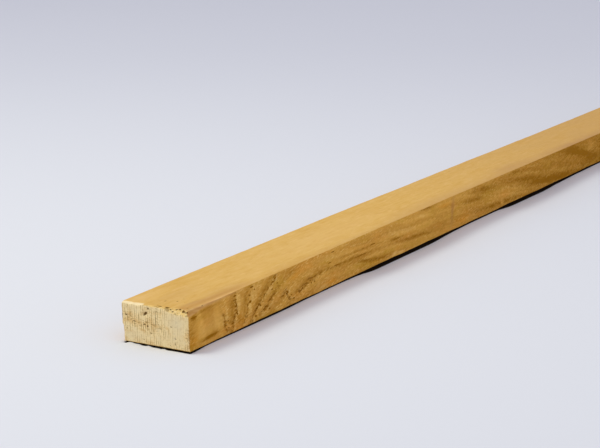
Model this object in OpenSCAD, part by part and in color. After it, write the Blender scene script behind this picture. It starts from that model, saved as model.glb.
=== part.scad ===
// Sawn timber batten: one straight length of softwood, ripped and crosscut by saw.
// The length runs along X, the wide faces look up and down, and the origin is
// the middle of the underside.

/* [Stock] */
// Length as sold, end to end
length = 1800; // [300:50:5400]
// Width of the two wide sawn faces
width = 50; // [38:1:100]
// Thickness between the wide faces
thickness = 25; // [19:1:50]

/* [Long edges] */
// Radius that handling has worn on the two upper long edges
upper_edge_r = 1.2; // [0.4:0.1:3]
// Radius that handling has worn on the two lower long edges
lower_edge_r = 0.8; // [0.4:0.1:3]

/* [Worn corner] */
// Length of the worn stretch, from the near end along the upper right edge
wear_reach = 36; // [20:2:150]
// Width that the wear takes off the upper wide face, at the near end
wear_on_face = 3; // [1:0.5:9]
// Height that the wear takes off the narrow face, at the near end
wear_on_edge = 5; // [1:0.5:9]

/* [Torn end edge] */
// How far the saw's exit tore the upper face back from the near end, at the right corner
tear_depth = 2; // [0.5:0.5:6]
// Height that it tore off the near end under that corner
tear_height = 4.5; // [3:0.5:9]
// Height that it tore off at the left corner
tear_height_left = 1.5; // [0.5:0.5:2.5]

/* [Hidden] */
$fn = 64;

near_x = -length / 2;
right_y = -width / 2;

// A quarter of the section's outline, filled: the corner at the origin is rounded
// by r, and the two straight sides run to the middle of the section.
module section_quarter(r) {
    translate([r, r]) circle(r);
    translate([r, 0]) square([width / 2 - r, thickness / 2]);
    translate([0, r]) square([width / 2, thickness / 2 - r]);
}

// The sawn section, width across and thickness up, standing on its lower wide face
module section() {
    for (side = [0, 1]) mirror([side, 0]) {
        translate([-width / 2, 0]) section_quarter(lower_edge_r);
        translate([-width / 2, thickness]) mirror([0, 1]) section_quarter(upper_edge_r);
    }
}

// The section carried along the whole length, with both ends cut square
module sawn_stock() {
    translate([near_x, 0, 0]) rotate([90, 0, 90]) linear_extrude(length) section();
}

// A block with one face on the plane that cuts the near end's upper right corner at
// three points: so far along the plank, so far across the end, and so far down it.
// It lies on the corner's side of that plane.
module corner_cut(along, across, down) {
    normal = [-1 / along, -1 / across, 1 / down];
    turn = atan2(normal.y, normal.x);
    rise = atan2(normal.z, norm([normal.x, normal.y]));
    size = 4 * max(along, across, down);
    translate([near_x + along, right_y, thickness])
        rotate([0, -rise, turn])
            translate([0, -size / 2, -size / 2]) cube(size);
}

// What wear has taken off the corner. It runs out along the long edge at wear_reach.
module corner_wear() {
    corner_cut(wear_reach, wear_on_face, wear_on_edge);
}

// What the saw tore off the near end's upper edge. It gets lower from right to left, and
// its plane would run out where the height comes to nothing, beyond the left corner.
module edge_tear() {
    run_out = width * tear_height / (tear_height - tear_height_left);
    corner_cut(tear_depth, run_out, tear_height);
}

module plank() {
    color("goldenrod") difference() {
        sawn_stock();
        corner_wear();
        edge_tear();
    }
}

plank();
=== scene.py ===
"""Looks of a sawn softwood batten: one rough-sawn length, dyed gold, with bare cut ends.

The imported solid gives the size. One skin of the same size, with the torn grain, the worn
corner and the crumbled end edge in its shape, stands for it. Lengths in the making of the
skin are millimetres: along from the near end, across from the right narrow face, and up
from the underside. The mesh itself is in metres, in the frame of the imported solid.
"""

import math

import bpy
import numpy as np
from mathutils import Matrix, Vector


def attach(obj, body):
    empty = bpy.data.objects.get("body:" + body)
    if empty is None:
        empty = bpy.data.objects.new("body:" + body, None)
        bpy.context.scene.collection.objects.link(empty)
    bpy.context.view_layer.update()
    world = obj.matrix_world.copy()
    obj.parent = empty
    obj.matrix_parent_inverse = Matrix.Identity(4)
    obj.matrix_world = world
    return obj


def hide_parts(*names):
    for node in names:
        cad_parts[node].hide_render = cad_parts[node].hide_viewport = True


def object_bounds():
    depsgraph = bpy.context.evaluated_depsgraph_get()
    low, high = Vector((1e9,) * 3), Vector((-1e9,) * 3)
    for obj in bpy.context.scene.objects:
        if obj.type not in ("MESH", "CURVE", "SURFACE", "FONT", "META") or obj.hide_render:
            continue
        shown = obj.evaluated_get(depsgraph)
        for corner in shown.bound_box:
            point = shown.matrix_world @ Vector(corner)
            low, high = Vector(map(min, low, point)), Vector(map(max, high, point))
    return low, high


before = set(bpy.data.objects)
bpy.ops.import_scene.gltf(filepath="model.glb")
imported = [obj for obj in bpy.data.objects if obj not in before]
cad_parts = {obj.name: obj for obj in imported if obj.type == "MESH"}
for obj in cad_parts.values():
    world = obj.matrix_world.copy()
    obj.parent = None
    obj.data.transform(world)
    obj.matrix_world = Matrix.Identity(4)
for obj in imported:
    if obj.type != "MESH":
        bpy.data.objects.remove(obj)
cad_low, cad_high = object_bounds()

MM = 0.001
LENGTH, WIDTH, THICKNESS = (np.array(cad_high - cad_low) / MM).tolist()

# Camera
# The image is taken to be 600 pixels wide. Distances are in metres, from the near end, from
# the right narrow face and from the floor. The heading turns from +X towards +Y.
IMAGE_WIDTH = 600
FOCAL_PIXELS = 1773
SENSOR_WIDTH = 36.0
CAMERA_BEFORE_END = 0.801
CAMERA_RIGHT_OF_EDGE = 0.600
CAMERA_HEIGHT = 0.320
CAMERA_HEADING = math.radians(33.0)
CAMERA_DIP = math.radians(13.74)
CAMERA_ROLL = -0.0297
CLIP_START = 0.05
CLIP_END = 50


def axes_of_view(heading, dip, roll):
    """Right, up and forward of a camera that is turned to its heading, dipped, then rolled."""
    ahead = np.array((math.cos(heading), math.sin(heading), 0.0))
    level = np.array((math.sin(heading), -math.cos(heading), 0.0))
    forward = math.cos(dip) * ahead - math.sin(dip) * np.array((0.0, 0.0, 1.0))
    upright = np.cross(level, forward)
    right = math.cos(roll) * level + math.sin(roll) * upright
    up = math.cos(roll) * upright - math.sin(roll) * level
    return right, up, forward


def add_camera():
    """A camera with the photograph's lens, at its place and turned as it was."""
    right, up, forward = axes_of_view(CAMERA_HEADING, CAMERA_DIP, CAMERA_ROLL)
    camera = bpy.data.objects.new("camera", bpy.data.cameras.new("camera"))
    camera.data.sensor_width = SENSOR_WIDTH
    camera.data.lens = FOCAL_PIXELS / IMAGE_WIDTH * SENSOR_WIDTH
    camera.data.clip_start = CLIP_START
    camera.data.clip_end = CLIP_END
    place = (cad_low.x - CAMERA_BEFORE_END, cad_low.y - CAMERA_RIGHT_OF_EDGE, CAMERA_HEIGHT)
    turned = Matrix(np.column_stack((right, up, -forward)).tolist()).to_4x4()
    camera.matrix_world = Matrix.Translation(place) @ turned
    bpy.context.scene.collection.objects.link(camera)
    bpy.context.scene.camera = camera


add_camera()

# Skin: the grid
# Cells across a wide face and up a narrow one, and how much finer they get towards the long
# edges, from 0 for not at all to 1
ACROSS_CELLS = 64
UP_CELLS = 36
EDGE_FINENESS = 0.55
LOOP_POINTS = 2 * (ACROSS_CELLS + UP_CELLS)
# Stations along the plank, as (station's number, mm from the near end). They are close
# together where the photo looks.
STATION_KNOTS = ((0, 0), (14, 6), (122, 112), (366, 600), (414, 1200), (458, 1790), (470, LENGTH))
STATIONS = STATION_KNOTS[-1][0] + 1


def graded(count):
    """Shares from 0 to 1 in count steps, finer at both ends: t - a sin(2 pi t) / (2 pi)."""
    t = np.arange(count + 1) / count
    return t - EDGE_FINENESS * np.sin(2 * np.pi * t) / (2 * np.pi)


def loop_outline():
    """Across and up of the points round the sharp-edged section: under, left, over, right."""
    across, up = WIDTH * graded(ACROSS_CELLS)[:-1], THICKNESS * graded(UP_CELLS)[:-1]
    under = np.column_stack((across, 0 * across))
    left = np.column_stack((WIDTH + 0 * up, up))
    over = np.column_stack((WIDTH - across, THICKNESS + 0 * across))
    right = np.column_stack((0 * up, THICKNESS - up))
    return np.concatenate((under, left, over, right))


def end_rim():
    """Which point of the loop each rim point of an end's grid is, and -1 for inner ones."""
    rim = np.full((ACROSS_CELLS + 1, UP_CELLS + 1), -1)
    a, b = np.arange(ACROSS_CELLS + 1), np.arange(UP_CELLS + 1)
    rim[:, 0] = a
    rim[-1, :] = ACROSS_CELLS + b
    rim[:, -1] = 2 * ACROSS_CELLS + UP_CELLS - a
    rim[0, :] = (LOOP_POINTS - b) % LOOP_POINTS
    return rim


def quads(corner_ids):
    """Four corner arrays as rows of four, one row for each face."""
    return np.stack([ids.ravel() for ids in corner_ids], axis=1)


def boxed_skin():
    """The sharp-edged box as one closed sheet: places in mm, faces, and each face's map corners.

    The long faces are a grid of stations by loop points. Each end is a grid of its own whose
    rim is the first or the last loop, so the sheet has no open edge.
    """
    outline = loop_outline()
    knots = np.array(STATION_KNOTS, float)
    stations = np.interp(np.arange(STATIONS), knots[:, 0], knots[:, 1])
    sleeve = np.empty((STATIONS, LOOP_POINTS, 3))
    sleeve[..., 0] = stations[:, None]
    sleeve[..., 1:] = outline
    places = [sleeve.reshape(-1, 3)]

    step_on = np.arange(LOOP_POINTS + 1)
    ids = np.arange(STATIONS)[:, None] * LOOP_POINTS + step_on % LOOP_POINTS
    faces = [quads((ids[:-1, :-1], ids[:-1, 1:], ids[1:, 1:], ids[1:, :-1]))]
    maps = [sleeve_map(stations, outline)]

    rim = end_rim()
    across, up = WIDTH * graded(ACROSS_CELLS), THICKNESS * graded(UP_CELLS)
    inner = np.stack(np.meshgrid(across[1:-1], up[1:-1], indexing="ij"), axis=-1).reshape(-1, 2)
    next_id = STATIONS * LOOP_POINTS
    for end, first_loop, along in ((0, 0, 0.0), (1, (STATIONS - 1) * LOOP_POINTS, LENGTH)):
        grid = np.where(rim >= 0, rim + first_loop, 0)
        grid[1:-1, 1:-1] = next_id + np.arange(len(inner)).reshape(grid[1:-1, 1:-1].shape)
        next_id += len(inner)
        places.append(np.column_stack((np.full(len(inner), along), inner)))
        turn = (grid[:-1, :-1], grid[:-1, 1:], grid[1:, 1:], grid[1:, :-1])
        faces.append(quads(turn if end == 0 else turn[::-1]))
        maps.append(end_map(across, up, end))
    return np.concatenate(places), np.concatenate(faces), np.concatenate(maps)


# Skin: its flat map
# The map is a square of this many pixels when it is baked. The long faces are rolled out
# in strips of one length, one above the other, and the two ends are side by side above
# them, with gaps of MAP_GAP pixels. The scales are pixels for each mm.
MAP_PIXELS = 1024
MAP_GAP = 4
STRIP_LENGTH = 600.0
STRIP_SCALE = (MAP_PIXELS - 2 * MAP_GAP) / STRIP_LENGTH
END_SCALE = 9.5
# What a station may fall short of a strip's end by and still begin the next strip
STATION_SLACK = 0.001


def sleeve_map(stations, outline):
    """Map corners of the long faces: along the plank to the right, round it upwards."""
    steps = np.linalg.norm(np.roll(outline, -1, axis=0) - outline, axis=1)
    round_it = np.concatenate(([0], np.cumsum(steps)))
    strip = np.floor((stations[:-1] + STATION_SLACK) / STRIP_LENGTH)
    start, stop = stations[:-1] - strip * STRIP_LENGTH, stations[1:] - strip * STRIP_LENGTH
    base = MAP_GAP + strip * (round_it[-1] * STRIP_SCALE + MAP_GAP)

    def corner(place, ring):
        u = MAP_GAP + place[:, None] * STRIP_SCALE + 0 * ring
        v = base[:, None] + ring * STRIP_SCALE
        return np.stack((u, v), axis=-1)

    low, high = round_it[:-1], round_it[1:]
    corners = (corner(start, low), corner(start, high), corner(stop, high), corner(stop, low))
    return np.stack(corners, axis=2).reshape(-1, 4, 2) / MAP_PIXELS


def end_map(across, up, end):
    """Map corners of one end, as it looks, in the top row of the map."""
    left = MAP_GAP + end * (WIDTH * END_SCALE + MAP_GAP)
    base = MAP_PIXELS - MAP_GAP - THICKNESS * END_SCALE
    grid = np.meshgrid(left + across * END_SCALE, base + up * END_SCALE, indexing="ij")
    grid = np.stack(grid, axis=-1)
    corners = (grid[:-1, :-1], grid[:-1, 1:], grid[1:, 1:], grid[1:, :-1])
    if end == 1:
        corners = corners[::-1]
    return np.stack(corners, axis=2).reshape(-1, 4, 2) / MAP_PIXELS


# Skin: noise and easing
NOISE_VALUES = 4096
# Large primes that mix a point's three whole numbers into one
NOISE_KEYS = (73856093, 19349663, 83492791)
OCTAVES = 3
EASING_SAMPLES = 9


def value_noise(places, sizes, seed):
    """Smooth noise from -1 to 1 in blobs of the given sizes.

    A random value stands at each whole-number point, and the eight round a place are
    blended by 3t^2 - 2t^3 along each axis.
    """
    values = np.random.default_rng(seed).uniform(-1, 1, NOISE_VALUES)
    scaled = places / np.array(sizes, float)
    corner = np.floor(scaled).astype(np.int64)
    t = scaled - corner
    t = t * t * (3 - 2 * t)
    total = np.zeros(len(places))
    for step in np.ndindex(2, 2, 2):
        key = (corner + step) * NOISE_KEYS
        weight = np.prod(np.where(np.array(step) == 1, t, 1 - t), axis=1)
        total += weight * values[(key[:, 0] ^ key[:, 1] ^ key[:, 2]) % NOISE_VALUES]
    return total


def rough_noise(places, sizes, seed):
    """Value noise plus finer copies of itself, each half as large and half as strong."""
    total = sum(value_noise(places, np.array(sizes) / 2**k, seed + k) / 2**k for k in range(OCTAVES))
    return total / (2 - 0.5 ** (OCTAVES - 1))


def eased(along, knots, reach):
    """Straight lines between knots, with their corners rounded: the mean over a reach."""
    places, values = np.array(knots, float).T
    shifts = np.linspace(-reach, reach, EASING_SAMPLES)
    return sum(np.interp(along + shift, places, values) for shift in shifts) / len(shifts)


def smooth_step(value, low, high):
    """0 below low, 1 above high, and 3t^2 - 2t^3 between."""
    t = np.clip((value - low) / (high - low), 0, 1)
    return t * t * (3 - 2 * t)


def nearness(along, up, points, width):
    """1 on the line through some points, falling off beside it as exp(-(distance / width)^2)."""
    closest = np.full(len(along), np.inf)
    for (a0, u0), (a1, u1) in zip(points, points[1:]):
        run, rise = a1 - a0, u1 - u0
        share = np.clip(((along - a0) * run + (up - u0) * rise) / (run**2 + rise**2), 0, 1)
        closest = np.minimum(closest, np.hypot(along - a0 - share * run, up - u0 - share * rise))
    return np.exp(-((closest / width) ** 2))


def blot(first, second, centre, radii, tilt):
    """1 in the middle of a soft ellipse: exp(-r^2), r measured in its own turned radii."""
    x, y = first - centre[0], second - centre[1]
    c, s = math.cos(math.radians(tilt)), math.sin(math.radians(tilt))
    return np.exp(-(((x * c + y * s) / radii[0]) ** 2) - ((y * c - x * s) / radii[1]) ** 2)


def blots(first, second, settings):
    """Soft ellipses, each as (centre, radii, tilt, strength), added up."""
    return sum(strength * blot(first, second, *ellipse) for *ellipse, strength in settings)


# Skin: the grain
RING_SPACING = 1.45
# Along the plank, the number of the growth ring that a narrow face meets at mid-height, and
# how many rings it crosses for each mm up. Where the first changes fast the figure stands
# steep, and where it is level the figure runs along the plank.
RING_ALONG = ((0, -3), (24, -1), (36, 0), (48, 1), (62, 2), (77, 3), (91, 4), (112, 5), (153, 6),
              (180, 6.2), (215, 6), (300, 5.2), (352, 4.6), (470, 1.2), (540, -0.6), (600, -2),
              (760, 1), (980, -2.5), (1240, 1.8), (1500, -1), (1800, 2.4))
RING_UP = ((0, -0.03), (37, -0.03), (48, 0.02), (62, 0.035), (78, 0.095), (115, 0.10), (150, 0.17),
           (300, 0.20), (600, 0.18), (1000, 0.24), (1800, 0.15))
# How far into the plank the figure reaches before it has faded to a third
FIGURE_DEPTH = 14.0
# How coarse the torn grain of a narrow face is, along the plank
COARSE_ALONG = ((0, 0.5), (9, 0.2), (30, 0.25), (38, 1.0), (112, 1.0), (135, 0.7), (240, 0.55),
                (320, 0.25), (350, 0.6), (450, 0.6), (520, 0.3), (600, 0.4), (1800, 0.5))

# Seams of torn grain on the right narrow face, as (along, up) points
SEAMS = (
    ((39, 3), (37, 8), (35, 13)),
    ((43, 1), (45, 6), (48, 11), (48.5, 17), (48, 23)),
    ((56, 3), (60, 9), (63.5, 15), (66, 23)),
    ((64, 1), (69, 7), (77, 12), (83, 17), (92, 22), (97, 25)),
    ((74, 3), (84, 8), (95, 16)),
    ((99, 9), (105, 10.5), (109, 4)),
    ((119, 7), (132, 11), (147, 12)),
)
SEAM_WIDTH = 1.7
# A seam's raised lip is the same line, this much farther along. It is painted pale, as a painted
# highlight.
LIP_SHIFT = 2.2

# The next lists hold soft ellipses, as centre, radii, tilt in degrees, and strength.

# Broad shades of the right narrow face, as (along, up). Above 0 is darker, and below 0 is
# paler and a little sunken, as where a chip has come off.
SIDE_SHADES = (
    ((1, 10), (6, 9), 0, 0.65),
    ((5, 19.6), (3.2, 1.5), 0, 1.1),
    ((12, 17.5), (9, 1.2), 12, 0.4),
    ((16, 21.8), (12, 1.3), 2, 0.7),
    ((21, 4.2), (7.5, 1.2), 2, 1.9),
    ((14, 9), (12, 5), 0, -0.25),
    ((30, 12), (7, 6), 0, -0.2),
    ((44, 13), (13, 3.0), 80, 0.6),
    ((52, 6), (3.5, 3.5), 0, 0.5),
    ((59.5, 17), (9, 2.6), 72, 0.55),
    ((79, 17.5), (14, 2.0), 38, 0.7),
    ((90, 11.5), (16, 1.7), 28, 0.55),
    ((72, 21), (5, 2.5), 50, -0.3),
    ((53, 16), (6, 2), 85, -0.3),
    ((100, 17), (8, 3), 20, -0.2),
    ((112, 20.5), (10, 1.2), 12, 0.5),
    ((128, 10), (16, 1.6), 9, 0.65),
    ((178, 12.2), (38, 1.1), -1, 0.9),
    ((196, 16), (26, 0.9), -2, 0.8),
    ((205, 7), (18, 1.4), -8, 0.75),
    ((160, 19), (22, 2.4), -3, -0.25),
    ((134.5, 14), (3.5, 1.6), 20, -0.45),
    ((142, 5.5), (3, 1.3), 40, -0.4),
    ((184, 17.2), (5, 0.8), -3, -0.5),
    ((199, 14.6), (8, 0.8), -3, -0.4),
    ((182, 10.8), (6, 0.8), -3, -0.4),
    ((172, 13), (52, 12), 0, 0.1),
    ((265, 15), (9, 1.0), -4, -0.35),
    ((284, 20.5), (8, 1.2), -5, -0.35),
    ((225, 4), (16, 1.6), -4, 0.6),
    ((246, 12.8), (10, 0.9), -2, 1.15),
    ((274, 8), (24, 1.3), -4, 1.15),
    ((245, 17.5), (16, 3), -3, -0.2),
    ((290, 24), (9, 1.3), -5, 1.1),
    ((310, 10), (16, 10), 0, 0.3),
    ((366, 15.3), (15, 1.4), -6, 0.9),
    ((380, 20), (20, 2.8), -5, 0.7),
    ((455, 14), (34, 2.0), -7, 0.8),
    ((440, 22.5), (16, 1.6), -4, 0.5),
    ((398, 4.5), (44, 1.7), -3, 0.8),
    ((500, 5), (42, 2.3), -5, 1.2),
    ((430, 9), (40, 3), -4, -0.25),
    ((545, 20.5), (20, 3.0), -6, 0.7),
    ((562, 15.5), (22, 2.0), -14, 1.0),
    ((590, 7), (16, 2.0), -5, 0.5),
    ((582, 19), (9, 4), -10, -0.5),
    ((244, 2.6), (4, 1.3), 10, -1.0),
    ((252, 2.0), (3, 1.0), 0, -0.8),
    ((412, 3.8), (2.6, 1.6), 0, -1.1),
    ((148, 2.2), (6, 1.2), 6, -0.5),
    ((362, 5), (14, 2.4), 2, -0.4),
)

# Where the dye has pooled to amber on the right narrow face
AMBER_SPOTS = (
    ((2.5, 5), (4.5, 3.2), 0, 1.0),
    ((54, 5.5), (3, 3.5), 0, 0.6),
    ((113, 17.5), (9, 2.2), 8, 0.65),
    ((158, 3.4), (7, 1.4), 0, 0.7),
    ((218, 3.4), (10, 1.4), 0, 0.8),
    ((248, 5), (4, 1.5), 0, 0.8),
    ((318, 21), (9, 2.2), -4, 0.7),
    ((345, 5), (9, 2.5), -4, 0.6),
    ((505, 4), (14, 1.6), -4, 0.5),
)

# Where the upper face is browned along its right edge, as (along, across)
BROWNED_SPOTS = (
    ((20, 4.6), (34, 2.3), -2, 0.85),
    ((50, 4.2), (17, 2.4), 0, 0.25),
    ((2, 7), (5, 3), 0, 0.4),
)

# Broad shades of the upper wide face, as (along, across). Above 0 is browner, and below 0
# is paler and rosier. The long ones at 300 and 560 mm by the right edge are painted shade,
# where the face darkens towards that edge.
TOP_SHADES = (
    ((15, 8.5), (15, 1.5), -3, 0.6),
    ((300, 0), (420, 9), 0, 0.4),
    ((445, 9), (28, 7), 0, 0.35),
    ((20, 41), (22, 6), 0, -0.35),
    ((190, 22), (80, 14), 0, -0.3),
    ((560, 3), (60, 5), 0, 0.3),
    ((52, 8), (26, 5), 0, 0.3),
    ((24, 30), (24, 12), 0, 0.28),
    ((8, 43), (12, 7), 0, -0.5),
    ((80, 9), (14, 7), 0, -0.35),
    ((220, 6), (60, 5), 0, -0.2),
    ((280, 8), (70, 8), 0, 0.2),
)

# How much deeper the dye of the narrow faces is along the plank, as palest near the camera,
# with painted shade in it where the lamp's light falls off, and the share of it that the wide
# faces have, which is painted shade
DYE_AND_SHADE_ALONG = ((0, 0), (280, 0), (400, 0.3), (500, 0.58), (600, 0.88), (800, 0.8), (1100, 0.6),
             (1400, 0.75), (1800, 0.65))
SHADE_ON_WIDE = 0.65

# Tones of the near end, as (across, up). Above 0 is browner, and below 0 is greyer and paler.
END_TONES = (
    ((9, 15), (8, 6), 0, -0.9),
    ((18, 5), (16, 4), 0, -0.3),
    ((42, 4), (9, 4.5), 0, -0.7),
    ((42, 21), (8, 2.5), 0, -0.4),
    ((27, 15), (5, 7), 0, 0.25),
    ((33, 12.8), (15, 1.5), 3, 0.8),
    ((44.5, 17.2), (4.5, 2.2), 4, 1.0),
    ((39, 14), (9, 5), 0, 0.15),
    ((26, 9), (8, 2.5), 0, 0.3),
    ((0.5, 8), (2.8, 8), 0, 1.2),
)

# A scuff that runs up the right narrow face, as one ellipse of full strength
SCUFF = ((330.5, 15), (2.0, 10.0), -9)


def side_seams(places, on_right):
    """How near each place on the right face is to a torn seam, and to the lip beyond it.

    The seams are made to waver by up to 1 mm along and 0.6 mm up.
    """
    along = places[:, 0] + value_noise(places, (7, 9, 3), 11)
    up = places[:, 2] + 0.6 * value_noise(places, (7, 9, 9), 12)
    seam, lip = np.zeros(len(places)), np.zeros(len(places))
    for points in SEAMS:
        seam = np.maximum(seam, nearness(along, up, points, SEAM_WIDTH))
        lip = np.maximum(lip, nearness(along - LIP_SHIFT, up, points, SEAM_WIDTH))
    return seam * on_right, lip * on_right


def painted_shades(places, on_right, on_top, near_end, narrow, flat):
    """The three lists of shades, each summed on its own face, plus dye and painted shade along it.

    Their outlines are made to waver. The last two arguments are how much each place lies on
    a narrow face and on a wide one.
    """
    along = places[:, 0] + 1.5 * value_noise(places, (10, 7, 5), 13)
    across = places[:, 1] + 0.8 * value_noise(places, (9, 5, 5), 15)
    up = places[:, 2] + 0.5 * value_noise(places, (8, 6, 6), 14)
    total = on_right * blots(along, up, SIDE_SHADES)
    total += on_top * blots(along, across, TOP_SHADES)
    total += near_end * blots(across, up, END_TONES)
    # The dye deepens along the plank, with painted shade where the lamp's light falls off
    return total + eased(places[:, 0], DYE_AND_SHADE_ALONG, 60) * (narrow + SHADE_ON_WIDE * flat)


def ring_numbers(places):
    """Growth ring number: across / spacing, plus the figure of the nearer narrow face.

    The figure is RING_ALONG - RING_UP * (up - middle), and it fades with exp(-depth) from
    each narrow face, so the wide faces keep straight grain. It wavers more where it runs
    along the plank.
    """
    along, across, up = places.T
    figure = eased(along, RING_ALONG, 6) - eased(along, RING_UP, 10) * (up - THICKNESS / 2)
    depth = np.minimum(across, WIDTH - across)
    loose = smooth_step(along, 110, 190)
    waver = 0.35 * value_noise(places, (240, 12, 40), 22) * loose
    waver += 0.30 * value_noise(places, (45, 30, 11), 21) * loose
    waver += 0.08 * value_noise(places, (14, 5, 6), 23)
    return across / RING_SPACING + figure * np.exp(-depth / FIGURE_DEPTH) + waver


# Skin: wear and damage
# Radii of the upper and lower long edges and of the ends' rims, and how much they vary
EDGE_RADIUS_UP = 0.5
EDGE_RADIUS_DOWN = 0.45
END_RADIUS = 0.35
RADIUS_VARIES = 0.15
# The run over which a shaved surface bends into its neighbours
SHAVING_EASE = 0.12
# How far along, across and down the worn corner's plane takes the corner off
WEAR_REACH = 36.0
WEAR_ON_FACE = 3.0
WEAR_ON_EDGE = 5.0
# Height and depth of the torn upper edge of the near end, from right to left
TORN_TALL = ((0, 3.9), (9, 3.8), (15, 2.8), (19, 1.6), (26, 0.9), (33.5, 0.7), (34.5, 1.1), (50, 1.2))
TORN_DEEP = ((0, 2.4), (8, 2.7), (12, 2.3), (18, 1.5), (25, 1.0), (33.5, 0.9), (34.5, 2.6), (50, 2.8))
# The tear stays within this far of the end and of the top
TEAR_ZONE = 8.0
# Across this stretch the tear becomes one clean break, down to bare wood, farther left
CLEAN_BREAK = (33.5, 35)
# How far in the left edge of the near end is broken back
BROKEN_BACK = 1.0
# Depths of the hole and of the small ones
HOLE_DEPTH = 1.5
SMALL_HOLE_DEPTH = 0.3
# How high the plank's upper side is crowned, along the plank
CROWN = ((0, -0.2), (60, 0.1), (240, 0.65), (420, 0.45), (590, 0.0), (1200, 0.1), (1800, -0.2))

# Dark pits of the near end: (along, across, up), their radii along those axes, and tilt in
# degrees. Their dark is painted shade in their hollows. The hole is the largest, the next lie
# along the torn edge, and the rest are small ones and a thin crack. The last is a painted
# shadow in a notch of the left edge.
HOLE = ((0, 32.6, 19.2), (3.0, 1.8, 0.78), 42)
END_PITS = (
    HOLE,
    ((1.6, 22.1, 25.0), (0.6, 1.5, 0.4), 0),
    ((1.7, 16.8, 24.7), (0.5, 2.1, 0.32), 5),
    ((1.7, 4.9, 23.8), (0.9, 1.0, 0.85), 0),
    ((0.9, 12.4, 22.9), (0.6, 0.9, 0.35), 8),
    ((1.5, 2.2, 23.5), (0.6, 0.6, 0.5), 0),
    ((2.1, 10.0, 24.1), (0.5, 0.7, 0.35), 30),
    ((1.5, 14.1, 23.8), (0.5, 0.7, 0.3), -20),
    ((2.3, 7.6, 24.5), (0.5, 0.8, 0.3), -10),
    ((0, 30.0, 22.8), (1.0, 0.5, 0.65), 0),
    ((0, 46.8, 16.9), (1.0, 1.1, 0.35), -5),
    ((0, 40.9, 13.6), (1.0, 0.9, 0.35), -8),
    ((0, 30.9, 11.6), (1.0, 0.5, 0.65), 0),
    ((0, 33.2, 12.4), (1.0, 1.0, 0.28), -5),
    ((0, 24.8, 17), (1.0, 0.16, 4.5), 0),
    # A painted shadow in a notch of the left edge
    ((0.3, 49.8, 16.5), (2.0, 0.3, 3.6), 2),
)
# Dark pits of the right narrow face, as (along, up), (radius along, radius up). The first is
# a fleck, and the rest lie in the seams and streaks, their dark painted shade in their hollows.
SIDE_PIT_DEPTH = 2
SIDE_PITS = (
    ((5.0, 19.9), (3.2, 0.45)),
    ((49.5, 10.5), (0.8, 0.8)),
    ((49.2, 16.0), (0.5, 1.0)),
    ((48.7, 19.5), (0.6, 0.6)),
    ((64.3, 14.2), (1.0, 0.8)),
    ((69.0, 21.0), (0.7, 0.5)),
    ((67.3, 23.2), (0.7, 0.4)),
    ((39.8, 8.5), (0.8, 0.4)),
    ((37.3, 6.2), (0.7, 0.4)),
    ((45.0, 6.0), (0.4, 1.3)),
    ((75.0, 9.0), (0.8, 0.5)),
    ((71.0, 8.0), (0.9, 0.4)),
    ((69.5, 3.6), (1.0, 0.6)),
    ((88.5, 16.0), (1.0, 0.5)),
    ((94.5, 18.6), (1.0, 0.4)),
    ((85.0, 4.4), (1.2, 0.5)),
    ((104.8, 9.0), (1.0, 0.5)),
    ((110.5, 6.8), (0.9, 0.4)),
    ((113.0, 4.0), (1.1, 0.5)),
    ((124.0, 7.8), (0.7, 0.5)),
    ((134.5, 8.7), (0.6, 0.6)),
    ((138.6, 8.8), (0.8, 0.6)),
    ((157.5, 16.6), (2.0, 0.35)),
    ((162.0, 23.0), (2.0, 0.4)),
    ((166.0, 13.0), (3.5, 0.35)),
    ((198.0, 12.2), (9.0, 0.3)),
    ((214.0, 16.3), (3.5, 0.4)),
)


def rounded(places):
    """The box with rounded edges: each place goes to its radius from a box inset by it.

    Gives the moved places and the way each one faces.
    """
    up = places[:, 2]
    radius = EDGE_RADIUS_DOWN + (EDGE_RADIUS_UP - EDGE_RADIUS_DOWN) * smooth_step(up, 8, 17)
    radius = radius + RADIUS_VARIES * value_noise(places, (30, 60, 60), 31)
    inset = np.column_stack((np.full(len(places), END_RADIUS), radius, radius))
    core = np.clip(places, inset, (LENGTH, WIDTH, THICKNESS) - inset)
    facing = (places - core) / inset
    facing /= np.linalg.norm(facing, axis=1)[:, None]
    return core + facing * inset, facing


def shaved(places, height, normal):
    """Moves places back along a normal by their height over a plane, eased over a short run.

    The depth is the log of 1 + exp(height / ease) times the ease, which is the height
    itself once it is well over 0. Well under the plane nothing moves.
    """
    depth = SHAVING_EASE * np.logaddexp(0, height / SHAVING_EASE)
    depth = np.where(height < -4 * SHAVING_EASE, 0, depth)
    return places - depth[:, None] * normal, depth


def worn_corner(places, box_places):
    """Takes off the near end's upper right corner, on the plane through its three points."""
    normal = np.array((-1 / WEAR_REACH, -1 / WEAR_ON_FACE, 1 / WEAR_ON_EDGE))
    normal /= np.linalg.norm(normal)
    rough = 0.3 * rough_noise(box_places, (9, 3, 3), 51)
    height = (places - (WEAR_REACH, 0, THICKNESS)) @ normal + rough - 0.15
    return shaved(places, height, normal)


def torn_edge(places, box_places):
    """Crumbles the upper edge of the near end, on a slope that changes across the plank.

    The slope runs from its height below the top, on the end, to its depth along the top.
    """
    along, across, up = box_places.T
    tall, deep = eased(across, TORN_TALL, 0.5), eased(across, TORN_DEEP, 0.5)
    normal = np.column_stack((-tall / deep, np.zeros_like(tall), np.ones_like(tall)))
    normal /= np.linalg.norm(normal, axis=1)[:, None]
    height = ((places - (0, 0, THICKNESS)) * normal).sum(axis=1) + tall * normal[:, 2]
    height += 0.45 * rough_noise(box_places, (3, 2.2, 2.2), 52) - 0.1
    height = np.where((along < TEAR_ZONE) & (up > THICKNESS - TEAR_ZONE), height, -np.inf)
    return shaved(places, height, normal)


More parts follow.
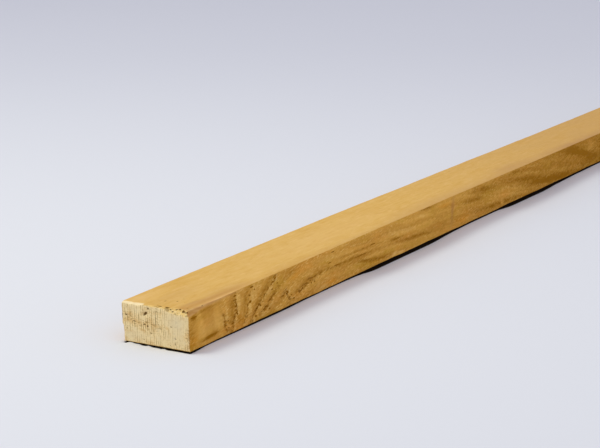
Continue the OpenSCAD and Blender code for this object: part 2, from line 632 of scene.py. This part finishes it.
def sawn_relief(box_places, ring, shade, seam, lip, narrow, on_end):
    """Height of the sawn surface in mm: waves and fibres, plus lips, less seams and chips.

    On the ends the soft wood of each ring is sunk by a cosine of the ring number.
    """
    wave = 0.10 * value_noise(box_places, (120, 40, 40), 41)
    wave += 0.07 * value_noise(box_places, (30, 9, 9), 42)
    fibre = value_noise(box_places, (9, 1.7, 1.7), 43)
    relief = wave + (0.03 + 0.14 * narrow) * fibre
    relief += 0.25 * lip - 0.35 * seam * (0.5 + 0.5 * value_noise(box_places, (2.5, 3, 2), 44))
    relief -= 0.10 * on_end * (0.5 + 0.5 * np.cos(2 * np.pi * ring))
    return relief - 0.25 * np.maximum(-shade, 0) * (1 - lip)


def small_holes(box_places, near_end, on_top):
    """Small holes of the near end, and flecks of the upper face that fade away from it."""
    along, across, _ = box_places.T
    holes = near_end * smooth_step(value_noise(box_places, (3, 1.5, 0.9), 45), 0.72, 0.95)
    flecks = on_top * (1 - smooth_step(along, 12, 55)) * (1 - smooth_step(across, 25, 45))
    return holes, flecks * smooth_step(value_noise(box_places, (3, 0.8, 4), 46), 0.5, 0.8)


def broken_back(box_places, on_left, near_end):
    """How much the near end's left edge is broken back: 1 below mid-height, 0 elsewhere."""
    along, across, up = box_places.T
    broken = smooth_step(on_left + near_end * smooth_step(across, 46, 50), 0.2, 0.8)
    return broken * (1 - smooth_step(along, 4, 14)) * (1 - smooth_step(up, 9.5, 11.5))


def bowed(box_places):
    """How far each place is lifted: by the crown, and along the lower right edge by a little."""
    along, across, up = box_places.T
    low = np.clip(1 - up / 6, 0, 1) * np.clip(1 - across / 12, 0, 1)
    lift = (0.15 + 0.12 * value_noise(box_places, (16, 60, 60), 53)) * low
    return lift + eased(along, CROWN, 40) * smooth_step(up, 2, THICKNESS)


def plank_shape(box_places):
    """The skin's final places, and the fields that its finish reads, one value a place.

    Apart from the ring's number and the shade, a field tells from 0 to 1 how much a place is so.
    """
    places, facing = rounded(box_places)
    along, across, up = box_places.T
    on_right, on_left = np.maximum(-facing[:, 1], 0), np.maximum(facing[:, 1], 0)
    near_end, on_end = np.maximum(-facing[:, 0], 0), np.abs(facing[:, 0])
    on_top, flat = np.maximum(facing[:, 2], 0), np.abs(facing[:, 2])
    narrow = on_right + on_left

    seam, lip = side_seams(box_places, on_right)
    lip *= smooth_step(value_noise(box_places, (2.6, 3, 1.6), 47), -0.3, 0.5)
    # The lips are painted pale beside the seams, a painted highlight where they rise
    shade = painted_shades(box_places, on_right, on_top, near_end, narrow, flat) - 0.6 * lip
    ring = ring_numbers(box_places)
    holes, flecks = small_holes(box_places, near_end, on_top)

    relief = sawn_relief(box_places, ring, shade, seam, lip, narrow, on_end)
    centre, radii, tilt = HOLE
    relief -= HOLE_DEPTH * near_end * blot(across, up, centre[1:], radii[1:], -tilt)
    relief -= SMALL_HOLE_DEPTH * (holes + flecks)
    places = places + relief[:, None] * facing
    places[:, 1] -= BROKEN_BACK * broken_back(box_places, on_left, near_end)
    places, worn = worn_corner(places, box_places)
    places, torn = torn_edge(places, box_places)
    places[:, 2] += bowed(box_places)

    # Past the worn corner its edge is painted pale, a painted highlight that gets ever thinner
    from_edge = np.hypot(across, THICKNESS - up)
    arris_highlight = 0.55 * (1 - smooth_step(along, 28, 72)) * np.exp(-((from_edge / 1.8) ** 2))
    rim = np.minimum(np.minimum(across, WIDTH - across), np.minimum(up, THICKNESS - up))
    bared = smooth_step(torn, 0.05, 0.35)
    fields = {
        "ring": ring,
        "seam": seam,
        "shade": shade,
        "narrow": narrow,
        "coarse": eased(along, COARSE_ALONG, 4),
        "bare": on_end * (0.55 + 0.45 * smooth_step(rim, 0, 1.5)),
        "torn": bared,
        "clean": smooth_step(across, *CLEAN_BREAK) * bared,
        # The worn corner's depth, with the painted highlight along the edge past it
        "worn": np.maximum(np.clip(worn / 1.6, 0, 1), arris_highlight) * (1 - on_end),
        # Small holes and sunk flecks, painted dark as shade in their hollows
        "hollow": np.maximum(0.8 * holes, 0.7 * flecks),
        "amber": on_right * blots(along, up, AMBER_SPOTS),
        "browned": on_top * blots(along, across, BROWNED_SPOTS),
        "scuff": on_right * blot(along, up, *SCUFF),
    }
    return places, fields


def add_plank():
    """The skin as a mesh in metres, with its fields as point attributes and its map."""
    box_places, faces, corners = boxed_skin()
    places, fields = plank_shape(box_places)
    mesh = bpy.data.meshes.new("plank_skin")
    mesh.vertices.add(len(places))
    mesh.vertices.foreach_set("co", (places * MM + np.array(cad_low)).astype(np.float32).ravel())
    mesh.loops.add(faces.size)
    mesh.loops.foreach_set("vertex_index", faces.ravel().astype(np.int32))
    mesh.polygons.add(len(faces))
    mesh.polygons.foreach_set("loop_start", np.arange(0, faces.size, 4, dtype=np.int32))
    mesh.polygons.foreach_set("use_smooth", np.ones(len(faces), bool))
    for name, values in fields.items():
        mesh.attributes.new(name, "FLOAT", "POINT").data.foreach_set("value", values.astype(np.float32))
    mesh.uv_layers.new(name="OFBake").data.foreach_set("uv", corners.astype(np.float32).ravel())
    mesh.update(calc_edges=True)
    mesh.validate()
    plank = bpy.data.objects.new("plank_skin", mesh)
    bpy.context.scene.collection.objects.link(plank)
    return plank


# Finish
def linear(red, green, blue):
    """A colour given in 0 to 255 screen values, as the linear values that shaders take."""
    shares = [value / 255 for value in (red, green, blue)]
    return [s / 12.92 if s <= 0.04045 else ((s + 0.055) / 1.055) ** 2.4 for s in shares] + [1.0]


class Graph:
    """A material's nodes. Each method but put adds some, and gives their result to link on."""

    def __init__(self, material):
        material.use_nodes = True
        self.nodes = material.node_tree.nodes
        self.links = material.node_tree.links
        self.shader = self.nodes["Principled BSDF"]

    def put(self, socket, value):
        """Links a socket to a result, or sets it to a plain value."""
        if isinstance(value, bpy.types.NodeSocket):
            self.links.new(value, socket)
        else:
            socket.default_value = value

    def field(self, name):
        node = self.nodes.new("ShaderNodeAttribute")
        node.attribute_name = name
        return node.outputs["Fac"]

    def object_places(self):
        return self.nodes.new("ShaderNodeTexCoord").outputs["Object"]

    def vector_math(self, operation, first, second=(0, 0, 0)):
        """The node that works on two vectors, of which the second is a plain one."""
        node = self.nodes.new("ShaderNodeVectorMath")
        node.operation = operation
        self.links.new(first, node.inputs[0])
        node.inputs[1].default_value = second
        return node

    def places(self, scales):
        """Object coordinates, multiplied by a scale for each axis.

        Noise on them has blobs of about one over the scale, in metres.
        """
        return self.vector_math("MULTIPLY", self.object_places(), scales).outputs["Vector"]

    def turned(self, scales, degrees):
        """Object coordinates turned about the axis across the plank, then scaled."""
        node = self.nodes.new("ShaderNodeMapping")
        self.links.new(self.object_places(), node.inputs["Vector"])
        node.inputs["Rotation"].default_value = (0, math.radians(degrees), 0)
        return self.vector_math("MULTIPLY", node.outputs["Vector"], scales).outputs["Vector"]

    def flow(self, ring, scales):
        """Places told by ring number, along and up, each multiplied by its scale.

        Noise on them is drawn out along the grain, whichever way the figure turns.
        """
        split = self.nodes.new("ShaderNodeSeparateXYZ")
        self.links.new(self.places((scales[1], 1, scales[2])), split.inputs[0])
        join = self.nodes.new("ShaderNodeCombineXYZ")
        self.put(join.inputs[0], self.times(ring, scales[0]))
        self.put(join.inputs[1], split.outputs[0])
        self.put(join.inputs[2], split.outputs[2])
        return join.outputs[0]

    def noise(self, places, detail=3.0, roughness=0.55):
        node = self.nodes.new("ShaderNodeTexNoise")
        self.links.new(places, node.inputs["Vector"])
        node.inputs["Scale"].default_value = 1.0
        node.inputs["Detail"].default_value = detail
        node.inputs["Roughness"].default_value = roughness
        return node.outputs["Fac"]

    def times(self, *factors):
        """The product of two or more values."""
        product = factors[0]
        for factor in factors[1:]:
            product = self.math("MULTIPLY", product, factor)
        return product

    def math(self, operation, first, second=0.0):
        node = self.nodes.new("ShaderNodeMath")
        node.operation = operation
        self.put(node.inputs[0], first)
        self.put(node.inputs[1], second)
        return node.outputs[0]

    def span(self, value, low, high, to_low=0.0, to_high=1.0):
        """A value's run from low to high, eased, as a run from to_low to to_high."""
        node = self.nodes.new("ShaderNodeMapRange")
        node.interpolation_type = "SMOOTHSTEP"
        self.put(node.inputs["Value"], value)
        limits = {"From Min": low, "From Max": high, "To Min": to_low, "To Max": to_high}
        for name, number in limits.items():
            node.inputs[name].default_value = number
        return node.outputs["Result"]

    def mix(self, share, first, second):
        """The first colour, with a share of it replaced by the second."""
        node = self.nodes.new("ShaderNodeMix")
        node.data_type = "RGBA"
        self.put(node.inputs["Factor"], share)
        self.put(node.inputs[6], first)
        self.put(node.inputs[7], second)
        return node.outputs[2]

    def bump(self, height, strength, distance, under=None):
        node = self.nodes.new("ShaderNodeBump")
        node.inputs["Strength"].default_value = strength
        node.inputs["Distance"].default_value = distance
        self.put(node.inputs["Height"], height)
        if under is not None:
            self.put(node.inputs["Normal"], under)
        return node.outputs["Normal"]

    def pit(self, centre, radii, tilt, rough):
        """1 inside an ellipsoid that is turned about the plank's length, and 0 outside."""
        node = self.nodes.new("ShaderNodeMapping")
        node.vector_type = "TEXTURE"
        self.links.new(self.object_places(), node.inputs["Vector"])
        node.inputs["Location"].default_value = Vector(centre) * MM + cad_low
        node.inputs["Rotation"].default_value = (math.radians(-tilt), 0, 0)
        node.inputs["Scale"].default_value = Vector(radii) * MM
        from_centre = self.vector_math("LENGTH", node.outputs["Vector"]).outputs["Value"]
        return self.span(self.math("ADD", from_centre, rough), 0.8, 1.2, 1.0, 0.0)

    def pits(self, settings, rough):
        """1 inside any of a list of pits, whose outlines the last value makes rough."""
        inside = 0.0
        for centre, radii, tilt in settings:
            inside = self.math("MAXIMUM", inside, self.pit(centre, radii, tilt, rough))
        return inside


# Wide faces
GOLD = linear(216, 171, 90)
GOLD_PALE = linear(222, 182, 107)
GOLD_DEEP = linear(207, 160, 76)
GOLD_BROWN = linear(191, 148, 94)
GOLD_ROSE = linear(232, 192, 128)

# Narrow faces
NARROW_GOLD = linear(227, 173, 80)
NARROW_DEEP = linear(202, 145, 60)
NARROW_ORANGE = linear(228, 160, 68)
NARROW_AMBER = linear(232, 154, 38)
NARROW_OLIVE = linear(204, 156, 54)
LATEWOOD = linear(176, 118, 20)
SHADE_DARK = linear(159, 107, 14)
SHADE_DARKEST = linear(148, 95, 0)
FLECK_PALE = linear(244, 199, 114)
SEAM_DARK = linear(158, 101, 2)

# Worn edge and scuff; the pale and pink are partly painted highlight on the worn edge
WORN_PALE = linear(240, 198, 132)
WORN_PINK = linear(222, 172, 112)
WORN_BROWN = linear(190, 140, 78)
SCUFF_ROSE = linear(172, 118, 72)

# Bare ends and their torn edge
CREAM = linear(247, 223, 168)
CREAM_TAN = linear(226, 188, 124)
CREAM_GREY = linear(230, 213, 172)
CREAM_LINE = linear(150, 116, 56)
TORN_GOLD = linear(240, 206, 132)
TORN_CREAM = linear(250, 232, 190)
END_DARK = linear(94, 62, 10)

WOOD_SPECULAR = 0.03
# Strength of each bump, and its height in metres
FIBRE_BUMP = (0.35, 0.0003)
GRAIN_BUMP = (0.7, 0.0010)


def narrow_faces(g, ring, coarse):
    """Colour of the narrow faces, with ragged rings of dark latewood, and the flecks on them."""
    shade = g.field("shade")
    # Flecks lie along the fibres, a little nose-down
    fleck = g.noise(g.turned((300, 400, 950), 14), detail=3, roughness=0.6)
    jag = g.noise(g.turned((130, 300, 480), 14), detail=4, roughness=0.6)
    streak = g.noise(g.flow(ring, (0.9, 16, 20)), detail=3)
    cloud = g.noise(g.places((24, 40, 90)), detail=3)

    side = g.mix(g.span(streak, 0.3, 0.7), NARROW_GOLD, NARROW_DEEP)
    side = g.mix(g.span(cloud, 0.5, 0.7, 0.0, 0.7), side, NARROW_ORANGE)
    side = g.mix(g.span(cloud, 0.5, 0.3, 0.0, 0.8), side, NARROW_OLIVE)
    side = g.mix(g.times(g.field("amber"), g.span(cloud, 0.35, 0.6, 0.35, 0.8)), side, NARROW_AMBER)

    # Each ring darkens towards its outer side and stops sharply, in a ragged line
    in_ring = g.math("FRACT", g.math("ADD", ring, g.times(g.math("SUBTRACT", jag, 0.5), 1.1)))
    late = g.times(g.span(in_ring, 0.4, 0.95), g.span(in_ring, 0.93, 1.0, 1.0, 0.0))
    here = g.span(g.noise(g.flow(ring, (1.1, 14, 10)), detail=2), 0.38, 0.6, 0.2, 1.0)
    side = g.mix(g.times(late, here, g.span(coarse, 0.25, 1.0, 0.23, 0.40)), side, LATEWOOD)

    # Chips are palest just past that line, and flecks lie all over the coarse parts
    chipped = g.times(g.span(in_ring, 0.0, 0.45, 1.0, 0.0), g.span(fleck, 0.48, 0.62))
    side = g.mix(g.times(chipped, g.times(coarse, 0.7)), side, FLECK_PALE)
    dark_fleck = g.times(g.span(fleck, 0.5, 0.36), g.span(coarse, 0.0, 1.0, 0.2, 0.36))
    pale_fleck = g.times(g.span(fleck, 0.52, 0.66), g.span(coarse, 0.0, 1.0, 0.1, 0.46))
    side = g.mix(dark_fleck, side, LATEWOOD)
    side = g.mix(pale_fleck, side, FLECK_PALE)
    ragged_shade = g.times(shade, g.span(g.math("ADD", jag, fleck), 1.15, 0.8, 0.65, 1.2))
    side = g.mix(ragged_shade, side, SHADE_DARK)
    return g.mix(g.times(shade, -1.0), side, FLECK_PALE), fleck


def wide_faces(g, ring):
    """Colour of the wide faces: soft streaks along the rings, under blotches and mottling."""
    shade = g.field("shade")
    streak = g.noise(g.flow(ring, (0.55, 7, 20)), detail=4)
    grain = g.noise(g.flow(ring, (2.6, 60, 150)), detail=4, roughness=0.65)
    blotch = g.noise(g.places((26, 70, 70)), detail=5, roughness=0.6)
    mottle = g.noise(g.places((110, 420, 420)), detail=3, roughness=0.6)

    wide = g.mix(g.span(streak, 0.3, 0.7, 0.2, 0.7), GOLD_PALE, GOLD)
    wide = g.mix(g.span(blotch, 0.5, 0.75, 0.0, 0.5), wide, GOLD_DEEP)
    wide = g.mix(g.span(blotch, 0.45, 0.25, 0.0, 0.6), wide, GOLD_PALE)
    wide = g.mix(g.span(mottle, 0.52, 0.7, 0.0, 0.45), wide, GOLD_DEEP)
    wide = g.mix(g.span(mottle, 0.48, 0.3, 0.0, 0.40), wide, GOLD_ROSE)
    wide = g.mix(g.span(grain, 0.55, 0.8, 0.0, 0.14), wide, LATEWOOD)
    wide = g.mix(g.times(shade, g.span(blotch, 0.3, 0.7, 1.0, 0.7)), wide, GOLD_BROWN)
    wide = g.mix(g.times(shade, g.span(blotch, 0.3, 0.7, -0.6, -1.0)), wide, GOLD_ROSE)
    return g.mix(g.times(g.field("browned"), g.span(streak, 0.3, 0.7, 0.7, 1.0)), wide, WORN_BROWN)


def dyed_faces(g, ring):
    """Colour of the dyed long faces with their torn seams, and the height of their grain."""
    seam, narrow, coarse = g.field("seam"), g.field("narrow"), g.field("coarse")
    side, fleck = narrow_faces(g, ring, coarse)
    colour = g.mix(narrow, wide_faces(g, ring), side)

    # Loose threads darken a seam all over, and breaks darken its middle
    thread = g.noise(g.turned((380, 500, 1000), 14), detail=2)
    threads = g.times(g.span(thread, 0.49, 0.39), g.span(seam, 0.15, 0.85))
    breaks = g.span(g.noise(g.places((420, 300, 420)), detail=2), 0.42, 0.62, 0.0, 0.6)
    dark = g.math("MAXIMUM", threads, g.times(g.span(seam, 0.7, 0.95), breaks))
    height = g.math("SUBTRACT", g.times(fleck, coarse, narrow), dark)
    return g.mix(dark, colour, SEAM_DARK), height


def cut_ends(g, ring):
    """Colour of a bare cut end: cream, with broken latewood lines and saw-scarred mottling."""
    tone = g.field("shade")
    line_waver = g.times(g.noise(g.places((60, 500, 160))), 0.5)
    in_ring = g.math("FRACT", g.math("ADD", ring, line_waver))
    late = g.times(g.span(in_ring, 0.5, 0.9), g.span(in_ring, 0.93, 1.0, 1.0, 0.0))
    mottle = g.noise(g.places((300, 170, 260)), detail=4)
    breaks = g.noise(g.places((10, 520, 170)), detail=3)
    scar = g.noise(g.places((300, 420, 1100)), detail=3, roughness=0.65)

    colour = g.mix(g.span(mottle, 0.42, 0.3, 0.0, 0.6), CREAM, CREAM_GREY)
    colour = g.mix(g.span(mottle, 0.5, 0.68, 0.0, 0.7), colour, CREAM_TAN)
    colour = g.mix(g.times(tone, -0.8), colour, CREAM_GREY)
    colour = g.mix(g.times(tone, g.span(mottle, 0.35, 0.6, 0.35, 1.0)), colour, CREAM_TAN)
    line = g.times(late, g.span(breaks, 0.38, 0.66, 0.05, 1.0))
    colour = g.mix(g.times(line, g.span(tone, -0.6, 0.3, 0.45, 1.0)), colour, CREAM_LINE)
    scarred = g.times(g.span(scar, 0.5, 0.64), g.span(tone, -0.4, 1.0, 0.15, 0.9))
    return g.mix(scarred, colour, CREAM_LINE)


def end_rims(g, dyed, end, crumb):
    """The dye bleeds a little over the ends' rims, and the torn edge is half bare."""
    ragged_rim = g.math("ADD", g.field("bare"), g.times(crumb, 0.8))
    colour = g.mix(g.span(ragged_rim, 0.85, 1.05), dyed, end)
    torn = g.field("torn")
    colour = g.mix(g.times(torn, g.span(crumb, 0.4, 0.6, 1.0, 0.35)), colour, TORN_GOLD)
    # Dark dashes on the torn edge, painted shade in its small pits
    dash = g.noise(g.places((700, 300, 900)), detail=2)
    colour = g.mix(g.times(torn, g.span(dash, 0.45, 0.38, 0.0, 0.5)), colour, END_DARK)
    return g.mix(g.times(g.field("clean"), 0.85), colour, TORN_CREAM)


def handled(g, colour):
    """Rubbing and painted highlight over a colour: pale and pink streaks, brown where deep, and a
    scuff.
    """
    worn = g.field("worn")
    rub = g.noise(g.turned((50, 500, 900), -7), detail=3)
    # At the worn corner's crest and along the edge past it, the pale and pink are painted highlight as
    # well as wear
    rubbed = g.mix(g.span(rub, 0.42, 0.58), WORN_PALE, WORN_PINK)
    rubbed = g.mix(g.span(g.math("ADD", worn, rub), 1.0, 1.5, 0.0, 0.8), rubbed, WORN_BROWN)
    rubbed = g.mix(g.span(g.field("narrow"), 0.5, 0.95, 0.0, 0.7), rubbed, WORN_BROWN)
    cover = g.span(g.math("ADD", worn, g.times(rub, 0.3)), 0.15, 0.8, 0.0, 0.9)
    colour = g.mix(cover, colour, rubbed)
    return g.mix(g.times(g.field("scuff"), 0.6), colour, SCUFF_ROSE)


def pitted(g, colour, crumb):
    """Dark pits and small holes laid over a colour, with crumbled outlines: painted shade in hollows.
    """
    rough = g.times(g.math("SUBTRACT", crumb, 0.5), 0.8)
    dark = g.math("MAXIMUM", g.span(g.field("hollow"), 0.3, 0.6, 0.0, 0.8), g.pits(END_PITS, rough))
    colour = g.mix(g.times(dark, 0.92), colour, END_DARK)
    on_side = [((x, 0, z), (long, SIDE_PIT_DEPTH, tall), 0) for (x, z), (long, tall) in SIDE_PITS]
    return g.mix(g.pits(on_side, rough), colour, SHADE_DARKEST)


def batten_finish():
    """Gold-dyed sawn softwood with streaks, figure and torn seams, and bare cut ends."""
    material = bpy.data.materials.new("dyed_sawn_softwood")
    g = Graph(material)
    ring = g.field("ring")
    crumb = g.noise(g.places((700, 700, 700)), detail=2)
    dyed, height = dyed_faces(g, ring)
    colour = end_rims(g, dyed, cut_ends(g, ring), crumb)
    g.put(g.shader.inputs["Base Color"], pitted(g, handled(g, colour), crumb))
    g.put(g.shader.inputs["Roughness"], g.span(crumb, 0.3, 0.7, 0.6, 0.78))
    g.shader.inputs["Specular IOR Level"].default_value = WOOD_SPECULAR

    fibre = g.bump(g.noise(g.places((40, 1500, 1500)), detail=3), *FIBRE_BUMP)
    g.put(g.shader.inputs["Normal"], g.bump(height, *GRAIN_BUMP, fibre))
    return material


# Stage
# The floor's width in metres, its colour by the near end, and its colour at FLOOR_FALL
# metres from there, darker as painted shade where the lamp's light falls off
FLOOR_SIZE = 40.0
FLOOR_NEAR = linear(226, 229, 238)
FLOOR_FAR_SHADE = linear(210, 213, 225)
FLOOR_FALL = 1.35
# The floor's colour where the plank hides it, a painted shade as dark as the slits under its
# edges, and how far past the plank's outline, in metres, that colour is full and is gone
FLOOR_PAINTED_SHADE = linear(44, 34, 24)
HIDDEN_FULL = -0.0007
HIDDEN_GONE = 0.0001
FLOOR_ROUGHNESS = 0.9
FLOOR_SPECULAR = 0.1
# The light that comes evenly from all round
WORLD_COLOUR = (1.0, 0.985, 1.05, 1.0)
WORLD_LEVEL = 0.71
# The lamp stands high up on the left of the picture. Its direction is told as right, ahead
# and up by the camera's heading, from a place on the floor LAMP_AIM metres past the near end.
LAMP_DIRECTION = (-1.0, 0.0, 1.38)
LAMP_AIM = 0.3
LAMP_DISTANCE = 2.3
LAMP_SIZE = 0.8
LAMP_POWER = 20.0
LAMP_COLOUR = (0.92, 0.925, 0.735)
# How far the sheet that the plank lies on hangs below its right face, along it, and below
# its near end, from right to left. It rises again as exp(-distance / reach), with a reach
# of its own all along the face.
SAG = ((0, 0.8), (30, 0.8), (60, 1.1), (100, 1.3), (130, 0.8), (170, 0.8), (195, 1.2), (214, 2.9),
       (300, 3.0), (325, 1.8), (352, 1.2), (405, 1.2), (430, 2.9), (490, 3.1), (512, 2.2), (545, 1.5),
       (600, 1.1), (760, 0))
SAG_REACH = ((0, 12), (170, 14), (225, 38), (600, 45), (760, 45))
END_SAG = ((0, 1.5), (8, 1.4), (14, 1.4), (16, 1.6), (18, 1.4), (19.5, 0.8), (21, 2.0), (22.5, 1.2),
           (28, 1.3), (31, 0.6), (33, 1.3), (36, 1.2), (38, 0.7), (41, 0.8), (43, 0.4), (46, 0.4),
           (47.8, 1.9), (49.5, 1.0), (51, 0.4), (60, 0))
END_SAG_REACH = 2.5
SAG_UNDER = 30.0


def sheet_places():
    """A grid of floor points, close together beside the plank's seen edges, with its sags.

    Places are in mm from the near end's lower right corner. Under the plank a sag fades
    out over SAG_UNDER, and beyond it as an exponential.
    """
    half = FLOOR_SIZE / 2 / MM
    along = (np.arange(-20, 0, 1.0), np.arange(0, 780, 4.0))
    along = np.concatenate(([-half, -300], *along, [1200, half]))
    across = (np.arange(-240, -40, 12.0), np.arange(-40, -10, 3.0), np.arange(-10, 60, 0.8))
    across = np.concatenate(([-half], *across, [120, half]))
    along, across = np.meshgrid(along, across, indexing="ij")
    before, right = np.maximum(-along, 0), np.maximum(-across, 0)
    under = 1 - smooth_step(across, 2, SAG_UNDER)
    reach = eased(along, SAG_REACH, 20)
    beside = eased(along, SAG, 6) * np.exp(-right / reach - before / END_SAG_REACH) * under
    under = 1 - smooth_step(along, 2, SAG_UNDER)
    ahead = eased(across, END_SAG, 0.6) * np.exp(-before / END_SAG_REACH - right / reach) * under
    return np.stack((along, across, -np.maximum(beside, ahead)), axis=-1)


def floor_finish():
    """A pale sheet, a little darker far from the near end: painted shade, as the lamp's light falls
    off.

    Where the plank hides it, it is painted as dark as the slits under its edges look in life: a painted
    shade.
    """
    material = bpy.data.materials.new("pale_floor")
    g = Graph(material)
    split = g.nodes.new("ShaderNodeSeparateXYZ")
    g.links.new(g.object_places(), split.inputs[0])
    beside = g.math("SUBTRACT", g.math("ABSOLUTE", split.outputs[1]), WIDTH / 2 * MM)
    beyond = g.math("SUBTRACT", g.math("ABSOLUTE", split.outputs[0]), LENGTH / 2 * MM)
    # Painted shade under the plank, seen through the slits under its edges
    slit_shade = g.span(g.math("MAXIMUM", beside, beyond), HIDDEN_FULL, HIDDEN_GONE, 1.0, 0.0)
    away = g.vector_math("DISTANCE", g.object_places(), cad_low).outputs["Value"]
    # Painted shade: the sheet darkens away from the near end, as the lamp's light falls off
    sheet = g.mix(g.span(away, 0.0, FLOOR_FALL), FLOOR_NEAR, FLOOR_FAR_SHADE)
    g.put(g.shader.inputs["Base Color"], g.mix(slit_shade, sheet, FLOOR_PAINTED_SHADE))
    g.shader.inputs["Roughness"].default_value = FLOOR_ROUGHNESS
    g.shader.inputs["Specular IOR Level"].default_value = FLOOR_SPECULAR
    return material


def add_floor():
    """The sheet that the plank lies on, as a mesh in metres."""
    grid = sheet_places()
    ids = np.arange(grid[..., 0].size).reshape(grid.shape[:2])
    faces = quads((ids[:-1, :-1], ids[1:, :-1], ids[1:, 1:], ids[:-1, 1:]))
    mesh = bpy.data.meshes.new("floor")
    mesh.from_pydata((grid.reshape(-1, 3) * MM + np.array(cad_low)).tolist(), [], faces.tolist())
    mesh.polygons.foreach_set("use_smooth", np.ones(len(faces), bool))
    mesh.materials.append(floor_finish())
    floor = bpy.data.objects.new("floor", mesh)
    bpy.context.scene.collection.objects.link(floor)


def add_lamp():
    """A square soft lamp, turned to the place that it is aimed at."""
    right, up, ahead = axes_of_view(CAMERA_HEADING, 0, 0)
    to_right, to_ahead, to_top = LAMP_DIRECTION
    direction = Vector(to_right * right + to_ahead * ahead + to_top * up).normalized()
    lamp = bpy.data.lights.new("key", "AREA")
    lamp.shape = "SQUARE"
    lamp.size = LAMP_SIZE
    lamp.energy = LAMP_POWER
    lamp.color = LAMP_COLOUR
    holder = bpy.data.objects.new("key", lamp)
    holder.location = Vector((cad_low.x + LAMP_AIM, 0, 0)) + direction * LAMP_DISTANCE
    holder.rotation_mode = "QUATERNION"
    holder.rotation_quaternion = direction.to_track_quat("Z", "Y")
    bpy.context.scene.collection.objects.link(holder)


def light_stage():
    """An even pale sky all round, and the lamp."""
    world = bpy.data.worlds.new("pale_studio")
    world.use_nodes = True
    bpy.context.scene.world = world
    background = world.node_tree.nodes["Background"]
    background.inputs["Color"].default_value = WORLD_COLOUR
    background.inputs["Strength"].default_value = WORLD_LEVEL
    add_lamp()


plank = add_plank()
plank.data.materials.append(batten_finish())
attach(plank, "root")
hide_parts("plank")
add_floor()
light_stage()

bpy.context.scene.view_settings.view_transform = "Standard"
